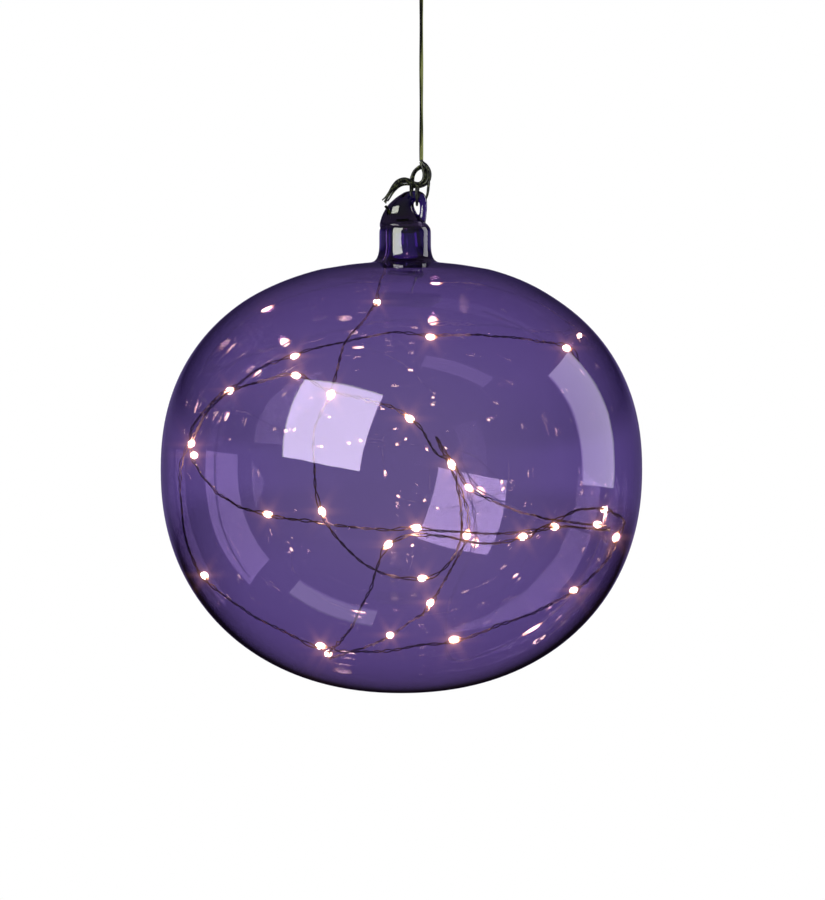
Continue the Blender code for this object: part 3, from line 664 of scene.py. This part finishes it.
def make_light_string():
    """Two lacquered wires, twisted together and opened out at each light."""
    noise.seed_set(KINK_SEED)
    points, lights = string_points()
    line = smooth_line(points, SPAN_STEPS)
    for i, place in enumerate(line):
        long_bends = noise.noise_vector(place / KINK_LONG) * 0.7
        short_bends = noise.noise_vector(place / KINK_SHORT) * 0.3
        line[i] = place + (long_bends + short_bends) * KINK_REACH
    lit = [line[i * SPAN_STEPS] for i in lights]
    gaps = []
    pitches = []
    for place in line:
        near = min((place - spot).length for spot in lit)
        open_share = math.exp(-((near / OPEN_REACH) ** 2))
        slack = max(0.0, noise.noise(place / SLACK_EVERY))
        gaps.append((WIRE_GAP + GAP_AT_LIGHT * open_share + GAP_WHERE_SLACK * slack) * MM)
        pitches.append((WIRE_PITCH + PITCH_AT_LIGHT * open_share) * MM)
    wires = twisted(line, gaps, pitches)
    parts = [tube(wire, [WIRE_RADIUS] * len(wire), 6) for wire in wires]
    string = new_piece("light_string", parts, COPPER)
    finished(string, "globe", "dark_wire", "led_wire")
    return line, lights


def make_lead():
    """The hanging lead's two strands, side by side and swaying, taut from the case to the knot."""
    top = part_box("hanging_lead")[1].z
    foot = CENTRE.z + LEAD_FOOT
    heights = [top + (foot - top) * i / LEAD_STEPS for i in range(LEAD_STEPS + 1)]
    line = [Vector((0.0, 0.0, height)) for height in heights]
    strands = ([], [])
    for i, place in enumerate(line):
        turn = LEAD_SWAY * math.sin(i / LEAD_SWAY_STEPS)
        across = LEAD_GAP * Vector((math.cos(turn), math.sin(turn), 0.0))
        strands[0].append(place + across)
        strands[1].append(place - across)
    parts = [tube(strand, [LEAD_STRAND_RADIUS] * len(strand), 12) for strand in strands]
    lead = new_piece("two_strand_lead", parts, OLIVE)
    finished(lead, "lead", "olive_lead", "hanging_lead")


make_camera()
STRING_LINE, LIGHTS = make_light_string()
make_lead()


# -------------------------------------------------------------------------------------- knot


def knot_piece(name, routes, *nodes):
    """A bundle of the knot's insulated strands along their routes, in a darker finish that is
    painted shade.
    """
    parts = [tube(*strand_line(route)) for route in routes]
    finished(new_piece(name, parts, KNOT_SHADED_OLIVE), "knot", "olive_lead", *nodes)


def make_tail():
    """The lead's thin tail: two strands down through the hook's bore and the neck."""
    line = [local(*p) for p in smooth_line(TAIL_ROUTE, 10)]
    count = len(line)
    strands = twisted(line, [TAIL_GAP] * count, [TAIL_PITCH] * count)
    parts = [tube(strand, [TAIL_STRAND_RADIUS] * count) for strand in strands]
    finished(new_piece("twisted_tail", parts, OLIVE), "globe", "olive_lead", "lead_tail")


knot_piece("knot_strands", KNOT_STRANDS, "lead_knot", "hook_loop")
knot_piece("loose_ends", END_STRANDS, "lead_ends")
make_tail()


# ------------------------------------------------------------------------------------- lights

DROP_STEPS = 12
DROP_FACETS = 16
DROP_FLATNESS = 0.88
DROP_LUMPS = 1.4 * MM
# A drop lies this far in from the wires' middle.
DROP_OFFSET = 0.7 * MM


def drop_form(seed):
    """A resin drop along Z: a blunt belly, drawn out to uneven points along the wires."""
    wobble = random.Random(seed)
    belly = wobble.uniform(1.10, 1.30) * MM
    low = wobble.uniform(1.4, 1.8) * MM
    high = wobble.uniform(2.3, 3.0) * MM
    side = []
    for i in range(DROP_STEPS + 1):
        turn = math.pi * i / DROP_STEPS
        height = -math.cos(turn)
        pinch = 1.0 - 0.6 * max(0.0, height) ** 1.2 - 0.25 * max(0.0, -height) ** 2
        side.append((belly * math.sin(turn) * pinch, height * (high if height > 0 else low)))
    points, faces = turned(side, DROP_FACETS)
    shift = Vector((wobble.uniform(-9, 9), wobble.uniform(-9, 9), wobble.uniform(-9, 9)))
    for point in points:
        point *= 1.0 + 0.12 * noise.noise(point / DROP_LUMPS + shift)
        point.y *= DROP_FLATNESS
    return points, faces


def make_drops(line, lights):
    """A lit resin drop on the wires at every light."""
    for number, light in enumerate(lights, 1):
        index = light * SPAN_STEPS
        here = line[index]
        along = (line[index + 3] - line[index - 3]).normalized()
        inward = CENTRE - here
        inward = (inward - inward.dot(along) * along).normalized()
        drop = new_piece(f"lit_drop_{number:02d}", [drop_form(number)], RESIN)
        drop.rotation_euler = along.to_track_quat("Z", "Y").to_euler()
        drop.location = here + inward * DROP_OFFSET
        finished(drop, "globe", "resin_bead", f"led_{number:02d}")


make_drops(STRING_LINE, LIGHTS)


# -------------------------------------------------------------------------------------- glass


def squarish_side(height, power, inset):
    """A quarter of the globe's outline from its pole to its widest circle, as (radius, height)."""
    side = []
    for i in range(GLOBE_STEPS + 1):
        turn = math.pi / 2 * i / GLOBE_STEPS
        radius = (GLOBE_RADIUS - inset) * math.sin(turn) ** (2 / power)
        side.append((radius, height * math.cos(turn) ** (2 / power)))
    return side


def globe_side(inset):
    """The globe's side from its lowest point to near the neck, as (radius, height), inset."""
    bottom = squarish_side(inset - GLOBE_BOTTOM, BOTTOM_POWER, inset)
    top = squarish_side(GLOBE_TOP - inset, TOP_POWER, inset)
    return bottom + [p for p in reversed(top[:-1]) if p[0] > NECK_TAKES_OVER]


def glass_turned(inset, neck):
    """A turned solid of the globe and its neck, leaning a little right at the neck."""
    side = globe_side(inset)
    rising = [Vector(side[-1])] + [Vector(p) * MM for p in neck]
    side += [tuple(p) for p in smooth_line(rising, 4)[1:]]
    side.append((0.0, side[-1][1] + 0.1 * MM))
    points, faces = turned(side, GLOBE_FACETS)
    for point in points:
        rise = max(0.0, min(1.0, (point.z - SHIFT_START) / (NECK_FOOT - SHIFT_START)))
        point.x += NECK_SHIFT * rise * rise * (3 - 2 * rise)
    return [point + CENTRE for point in points], faces


def melted_hook():
    """The hook's web and leg, melted together as one smooth form."""
    hook = new_piece("hook_form", [stacked(HOOK_WEB, 48), tube(*strand_line(HOOK_LEG, 8), 32)])
    melt = hook.modifiers.new("melt", "REMESH")
    melt.mode = "VOXEL"
    melt.voxel_size = HOOK_VOXEL
    calm = hook.modifiers.new("calm", "SMOOTH")
    calm.iterations = HOOK_SMOOTHING
    return applied(hook)


def combined(obj, other, operation):
    """Joins other to obj, or cuts it out of obj, and removes other."""
    step = obj.modifiers.new(other.name, "BOOLEAN")
    step.operation = operation
    step.solver = "MANIFOLD"
    step.object = other
    applied(obj)
    bpy.data.objects.remove(other, do_unlink=True)
    return obj


def finished_glass(obj, finish, node):
    """A cut glass form with one finish, on the globe's body."""
    obj.data.shade_smooth()
    obj.data.set_sharp_from_angle(angle=math.radians(SHARP_ANGLE))
    obj.data.materials.clear()
    obj.data.materials.append(finish)
    finished(obj, "globe", "violet_glass", node)


def add_lustre(obj, wanted):
    """Gives each face as much lustre as wanted(face) says, from 0 to 1."""
    marks = [wanted(face) for face in obj.data.polygons]
    obj.data.attributes.new("lustre", "FLOAT", "FACE").data.foreach_set("value", marks)


def globe_lustre(face):
    """Full lustre on the globe's inside, and some on the flame-polished neck."""
    if face.normal.dot(face.center - CENTRE) < 0.0:
        return 1.0
    return NECK_LUSTRE if face.center.z > CENTRE.z + NECK_FOOT + 2 * MM else 0.0


def tail_bore(radius):
    """The narrow way, radius in millimetres, that the lead's tail takes down through the hook."""
    line = [local(*p) for p in smooth_line(TAIL_ROUTE, 6)]
    return new_piece("bore", [tube(line, [radius * MM] * len(line), 24)])


def make_glass():
    """The blown globe with its hollow neck, and the thick, deeper hook drawn out of it."""
    glass = new_piece("blown_glass", [glass_turned(0.0, NECK_SIDE)])
    hollow = new_piece("hollow", [glass_turned(GLASS_WALL, NECK_HOLLOW)])
    combined(hollow, tail_bore(BORE_RADIUS), "UNION")
    combined(glass, hollow, "DIFFERENCE")
    add_lustre(glass, globe_lustre)
    finished_glass(glass, GLASS, "glass_globe")
    hook = combined(melted_hook(), tail_bore(BORE_RADIUS + BORE_PLAY), "DIFFERENCE")
    hook.name = "drawn_hook"
    add_lustre(hook, lambda face: NECK_LUSTRE)
    finished_glass(hook, HOOK_GLASS, "glass_hook")


make_glass()


# --------------------------------------------------------------------------------------- case

# The case, in millimetres from the place it hangs from. Its front is at -Y and its switch at +X.
DOOR_FACE = -11.0
CASE_BACK = 11.0
CASE_SIDE = 26.0
CASE_MIDDLE = -49.0
SEAM_DEPTH = 4.0
SWITCH_MIDDLE = -79.5
RING_MARK_MIDDLE = -71.0
# Rounded loops on it: half a width, half a height and a corner's radius.
SEAM_LOOP = (26.0, 37.0, 1.2)
BACK_LOOP = (16.0, 22.0, 3.0)
SWITCH_LOOP = (2.6, 5.2, 1.0)
RING_MARK_LOOP = (1.0, 1.0, 0.9)
KNOB_FACE = 27.4
KNOB_RIDGES = (-79.2, -78.0, -76.8)
BACK_BARS = (-36.0, -49.0, -62.0)
GRIP_RIBS = 6
GRIP_TOP = -27.0
GRIP_PITCH = 2.3
GRIP_HALF_WIDTH = 10
GRIP_BOW = 0.012
ARROW = ((-4.0, DOOR_FACE, -22.5), (0.0, DOOR_FACE, -19.0), (4.0, DOOR_FACE, -22.5))

# A cell's colours from its foot at 0 to its tip at 1, and the heights of both ends.
CELL_STEEL = (0.62, 0.61, 0.58)
CELL_BANDS = (
    (0.018, CELL_STEEL),
    (0.022, (0.020, 0.026, 0.024)),
    (0.740, (0.024, 0.030, 0.028)),
    (0.746, (0.42, 0.22, 0.11)),
    (0.972, (0.46, 0.25, 0.13)),
    (0.976, CELL_STEEL),
)
CELL_UP_ENDS = (-65.2, -14.7)
CELL_DOWN_ENDS = (-19.9, -70.4)

# The strain relief's side, as (radius, height): a lip round the lead, a neck, four ribs that
# widen upwards, a flange under the case's floor, a waist in the floor and a flange over it.
RELIEF_SIDE = (
    (0.0, -94.0), (1.46, -94.0), (1.46, -94.82), (1.66, -94.82), (1.75, -94.6), (1.75, -93.0),
    (1.2, -92.8), (1.3, -92.4), (2.05, -92.2), (2.15, -91.5),
    (1.7, -91.3), (1.8, -90.9), (2.6, -90.7), (2.7, -90.0),
    (2.2, -89.8), (2.3, -89.4), (3.2, -89.2), (3.3, -88.5),
    (2.8, -88.3), (3.0, -88.0), (4.2, -87.7), (4.4, -87.4), (4.4, -86.35), (4.25, -86.2),
    (3.1, -86.2), (3.1, -84.3), (4.4, -84.3), (4.4, -82.8), (4.2, -82.6), (0.0, -82.6),
)


def cell_finish(name, foot, tip):
    """A cell's wrap along Z: a steel foot, a dark wrap, a copper band and a steel tip."""
    material, nodes, links, shader = new_material(name)
    place = nodes.new("ShaderNodeTexCoord")
    apart = nodes.new("ShaderNodeSeparateXYZ")
    links.new(place.outputs["Object"], apart.inputs["Vector"])
    along = nodes.new("ShaderNodeMapRange")
    along.inputs["From Min"].default_value = foot * MM
    along.inputs["From Max"].default_value = tip * MM
    links.new(apart.outputs["Z"], along.inputs["Value"])
    bands = ramp(nodes, links, along.outputs["Result"], *CELL_BANDS)
    links.new(bands, shader.inputs["Base Color"])
    shader.inputs["Metallic"].default_value = 0.75
    shader.inputs["Roughness"].default_value = 0.28
    bumped(nodes, links, shader, noise_value(nodes, links, 500.0), 0.08, 0.1 * MM)
    return material


def raised_line(name, route, radius, body, finish, slot, closed=False):
    """A moulded bead along a route of places in millimetres, half sunk in the face it lies on."""
    line = [Vector(p) * MM for p in route]
    if closed:
        line.append(line[0])
    bead = tube(line, [radius * MM] * len(line), 10)
    finished(new_piece(name, [bead], finish), body, slot)


def case_line(name, route, radius, closed=False):
    """A bead moulded on the case's tray."""
    raised_line(name, route, radius, "battery_case", CASE_PLASTIC, "case_plastic", closed)


def rounded_loop(across, up, corner, steps=6):
    """A rounded rectangle's points as (across, up), half as wide and half as high as given."""
    loop = []
    for quarter in range(4):
        side = 1 if quarter in (0, 3) else -1
        rise = 1 if quarter in (0, 1) else -1
        for i in range(steps + 1):
            turn = math.pi / 2 * (quarter + i / steps)
            loop.append((side * (across - corner) + corner * math.cos(turn),
                         rise * (up - corner) + corner * math.sin(turn)))
    return loop


def detail_door():
    """The cover's thumb grip: bowed ribs, and an arrow that shows which way it slides."""
    across = range(-GRIP_HALF_WIDTH, GRIP_HALF_WIDTH + 1, 2)
    for number in range(GRIP_RIBS):
        height = GRIP_TOP - GRIP_PITCH * number
        bow = [(x, DOOR_FACE, height - GRIP_BOW * x * x) for x in across]
        raised_line(f"grip_rib_{number + 1}", bow, 0.6, "door", CASE_PLASTIC, "case_plastic")
    raised_line("slide_arrow", ARROW, 0.5, "door", CASE_PLASTIC, "case_plastic")


def detail_tray():
    """The tray's moulded seam, the raised frame on its back, and its switch's rim and mark."""
    seam = [(x, SEAM_DEPTH, z + CASE_MIDDLE) for x, z in rounded_loop(*SEAM_LOOP)]
    case_line("moulded_seam", seam, 0.28, True)
    plate = [(x, CASE_BACK, z + CASE_MIDDLE) for x, z in rounded_loop(*BACK_LOOP)]
    case_line("back_frame", plate, 0.45, True)
    for number, height in enumerate(BACK_BARS, 1):
        bar = ((-11.0, CASE_BACK, height), (11.0, CASE_BACK, height))
        case_line(f"back_bar_{number}", bar, 0.4)
    rim = [(CASE_SIDE, y, z + SWITCH_MIDDLE) for y, z in rounded_loop(*SWITCH_LOOP)]
    case_line("switch_rim", rim, 0.3, True)
    ring = [(CASE_SIDE, y, z + RING_MARK_MIDDLE) for y, z in rounded_loop(*RING_MARK_LOOP)]
    raised_line("switch_ring_mark", ring, 0.22, "battery_case", KNOB_PLASTIC, "knob_plastic", True)


def detail_knob():
    """Ridges across the switch knob's face."""
    for number, height in enumerate(KNOB_RIDGES, 1):
        ridge = ((KNOB_FACE, -1.2, height), (KNOB_FACE, 1.2, height))
        raised_line(f"knob_ridge_{number}", ridge, 0.26, "switch", KNOB_PLASTIC, "knob_plastic")


def make_relief():
    """The rubber strain relief: a grommet in the case's floor, drawn down in ribs to the lead."""
    side = [(radius * MM, height * MM) for radius, height in RELIEF_SIDE]
    relief = new_piece("ribbed_relief", [turned(side, 40)], RUBBER, 40)
    finished(relief, "battery_case", "relief_rubber", "strain_relief")


def finish_carried(rows):
    """Gives the CAD nodes that stay their finishes, from (slot, finish, names)."""
    for slot, finish, names in rows:
        for name in names:
            node = NODES[name]
            node.data.materials.clear()
            node.data.materials.append(finish)


CELL_UP = cell_finish("cell_wrap_up", *CELL_UP_ENDS)
CELL_DOWN = cell_finish("cell_wrap_down", *CELL_DOWN_ENDS)
CARRIED = (
    ("case_plastic", CASE_PLASTIC, ("case_tray", "battery_door", "switch_body")),
    ("knob_plastic", KNOB_PLASTIC, ("switch_knob",)),
    ("bail_steel", BAIL_STEEL, ("hanging_bail",)),
    ("cell_wrap", CELL_UP, ("cell_left", "cell_right")),
    ("cell_wrap", CELL_DOWN, ("cell_middle",)),
    ("spring_steel", SPRING_STEEL, (
        "spring_left", "spring_middle", "spring_right", "contact_bridge_top",
        "contact_bridge_bottom", "contact_positive", "contact_negative",
    )),
    ("board_laminate", LAMINATE, ("driver_board",)),
)
finish_carried(CARRIED)
detail_door()
detail_tray()
detail_knob()
make_relief()


# -------------------------------------------------------------------------------------- stage

# The backdrop as the glass dims it, and how bright the room is for matt surfaces.
BACKDROP_THROUGH_GLASS = (0.315, 0.30, 0.46)
ROOM_DIFFUSE = 0.95
# The room in reflections: its front, and its sides and back from straight down at 0 to
# straight up at 1.
ROOM_FRONT = (0.13, 0.125, 0.15, 1.0)
ROOM_BY_RISE = (
    (0.19, (0.12, 0.085, 0.20)),
    (0.35, (0.006, 0.004, 0.010)),
    (0.42, (0.006, 0.004, 0.010)),
    (0.47, (0.13, 0.095, 0.25)),
    (0.54, (0.13, 0.095, 0.25)),
    (0.59, (0.03, 0.020, 0.07)),
    (0.66, (0.05, 0.035, 0.11)),
    (0.80, (0.12, 0.085, 0.20)),
)
WHITE = (1.0, 1.0, 1.0)
# The colour sockets of a Mix node, which has others of the same names for its other types.
MIX_FIRST, MIX_SECOND, MIX_RESULT = 6, 7, 2

# The lens's glow round whatever is brighter than GLOW_FROM: its kind, its strength and its
# other settings.
GLOW_FROM = 2.0
GLOW_TINT = (1.0, 0.72, 0.50, 1.0)
LENS_GLOW = (
    ("BLOOM", 0.50, (("Size", 0.25),)),
    ("STREAKS", 0.14, (("Streaks", 6), ("Iterations", 2), ("Fade", 0.75))),
)

FLOOR_RADIUS = 5.5
FLOOR_HEIGHT = CAD_LOW.z - 0.87
FLOOR_SIDES = 96


def softbox(name, azimuth, elevation, roll, size, radiance, colour=WHITE, distance=1.4):
    """A rectangular studio light round the globe. Azimuth 0 is the camera's side, 90 the right."""
    width, height = size
    data = bpy.data.lights.new(name, "AREA")
    data.shape = "RECTANGLE"
    data.size = width
    data.size_y = height
    data.energy = radiance * math.pi * width * height
    data.color = colour
    turn = math.radians(azimuth)
    rise = math.radians(elevation)
    level = math.cos(rise)
    away = Vector((math.sin(turn) * level, -math.cos(turn) * level, math.sin(rise)))
    light = bpy.data.objects.new(name, data)
    light.location = CENTRE + away * distance
    light.rotation_euler = away.to_track_quat("Z", "Y").to_euler()
    light.rotation_euler.rotate_axis("Z", math.radians(roll))
    light.visible_camera = False
    light.visible_diffuse = False
    bpy.context.scene.collection.objects.link(light)


def make_world():
    """A white backdrop, seen directly or dimmed through the glass, and a dim reflected room."""
    world = bpy.data.worlds.new("studio")
    world.use_nodes = True
    bpy.context.scene.world = world
    nodes = world.node_tree.nodes
    links = world.node_tree.links
    nodes.clear()
    path = nodes.new("ShaderNodeLightPath")

    def lit(colour, strength):
        """One even light from all round."""
        background = nodes.new("ShaderNodeBackground")
        background.inputs["Color"].default_value = (*colour, 1.0)
        background.inputs["Strength"].default_value = strength
        return background.outputs["Background"]

    def chosen(share, when_false, when_true):
        """One of two lights, by a value of 0 or 1."""
        mix = nodes.new("ShaderNodeMixShader")
        links.new(share, mix.inputs["Fac"])
        links.new(when_false, mix.inputs[1])
        links.new(when_true, mix.inputs[2])
        return mix.outputs["Shader"]

    place = nodes.new("ShaderNodeTexCoord")
    apart = nodes.new("ShaderNodeSeparateXYZ")
    links.new(place.outputs["Generated"], apart.inputs["Vector"])
    front = nodes.new("ShaderNodeMapRange")
    front.inputs["From Min"].default_value = -0.2
    front.inputs["From Max"].default_value = -1.0
    links.new(apart.outputs["Y"], front.inputs["Value"])
    rise = nodes.new("ShaderNodeMapRange")
    rise.inputs["From Min"].default_value = -1.0
    links.new(apart.outputs["Z"], rise.inputs["Value"])
    around = ramp(nodes, links, rise.outputs["Result"], *ROOM_BY_RISE)
    blend = nodes.new("ShaderNodeMix")
    blend.data_type = "RGBA"
    links.new(front.outputs["Result"], blend.inputs["Factor"])
    links.new(around, blend.inputs[MIX_FIRST])
    blend.inputs[MIX_SECOND].default_value = ROOM_FRONT
    room = nodes.new("ShaderNodeBackground")
    links.new(blend.outputs[MIX_RESULT], room.inputs["Color"])

    reflected = nodes.new("ShaderNodeMath")
    reflected.operation = "GREATER_THAN"
    reflected.inputs[1].default_value = 0.5
    links.new(path.outputs["Glossy Depth"], reflected.inputs[0])
    seen_through = chosen(
        reflected.outputs["Value"], lit(BACKDROP_THROUGH_GLASS, 1.0), room.outputs["Background"]
    )
    on_matt = chosen(path.outputs["Is Diffuse Ray"], seen_through, lit(WHITE, ROOM_DIFFUSE))
    direct = chosen(path.outputs["Is Camera Ray"], on_matt, lit(WHITE, 1.0))
    output = nodes.new("ShaderNodeOutputWorld")
    links.new(direct, output.inputs["Surface"])


def make_lens_glow():
    """A lens's bloom and faint star round anything much brighter than white: the lit drops."""
    scene = bpy.context.scene
    scene.use_nodes = True
    nodes = scene.node_tree.nodes
    links = scene.node_tree.links
    picture = next(node for node in nodes if node.type == "R_LAYERS").outputs["Image"]
    for kind, strength, settings in LENS_GLOW:
        glare = nodes.new("CompositorNodeGlare")
        glare.glare_type = kind
        glare.inputs["Threshold"].default_value = GLOW_FROM
        glare.inputs["Strength"].default_value = strength
        glare.inputs["Tint"].default_value = GLOW_TINT
        for name, value in settings:
            glare.inputs[name].default_value = value
        links.new(picture, glare.inputs["Image"])
        picture = glare.outputs["Image"]
    links.new(picture, next(node for node in nodes if node.type == "COMPOSITE").inputs["Image"])


def make_floor():
    """A round pale floor well below the globe, which hangs clear of it."""
    middle = Vector((0.0, 0.0, FLOOR_HEIGHT))
    reach_x = Vector((FLOOR_RADIUS, 0.0, 0.0))
    reach_y = Vector((0.0, FLOOR_RADIUS, 0.0))
    points = [middle, *ring_round(middle, reach_x, reach_y, FLOOR_SIDES)]
    faces = [(0, 1 + k, 1 + (k + 1) % FLOOR_SIDES) for k in range(FLOOR_SIDES)]
    pale = mottled("pale_floor", (0.90, 0.90, 0.90), (0.93, 0.93, 0.93), 6, 0.7)
    floor = new_piece("floor", [(points, faces)], pale)
    floor.visible_glossy = False
    floor.visible_transmission = False


bpy.context.scene.view_settings.view_transform = "Standard"
make_lens_glow()
make_world()
make_floor()
softbox("main_softbox", -35.2, 21.0, -7, (1.01, 0.99), 5.2, (0.97, 1.0, 0.88))
softbox("side_softbox", 106.0, 16.2, 0, (0.66, 1.02), 1.7)
softbox("low_panel", -55.0, -60.0, 31, (0.075, 0.22), 0.8, distance=0.40)
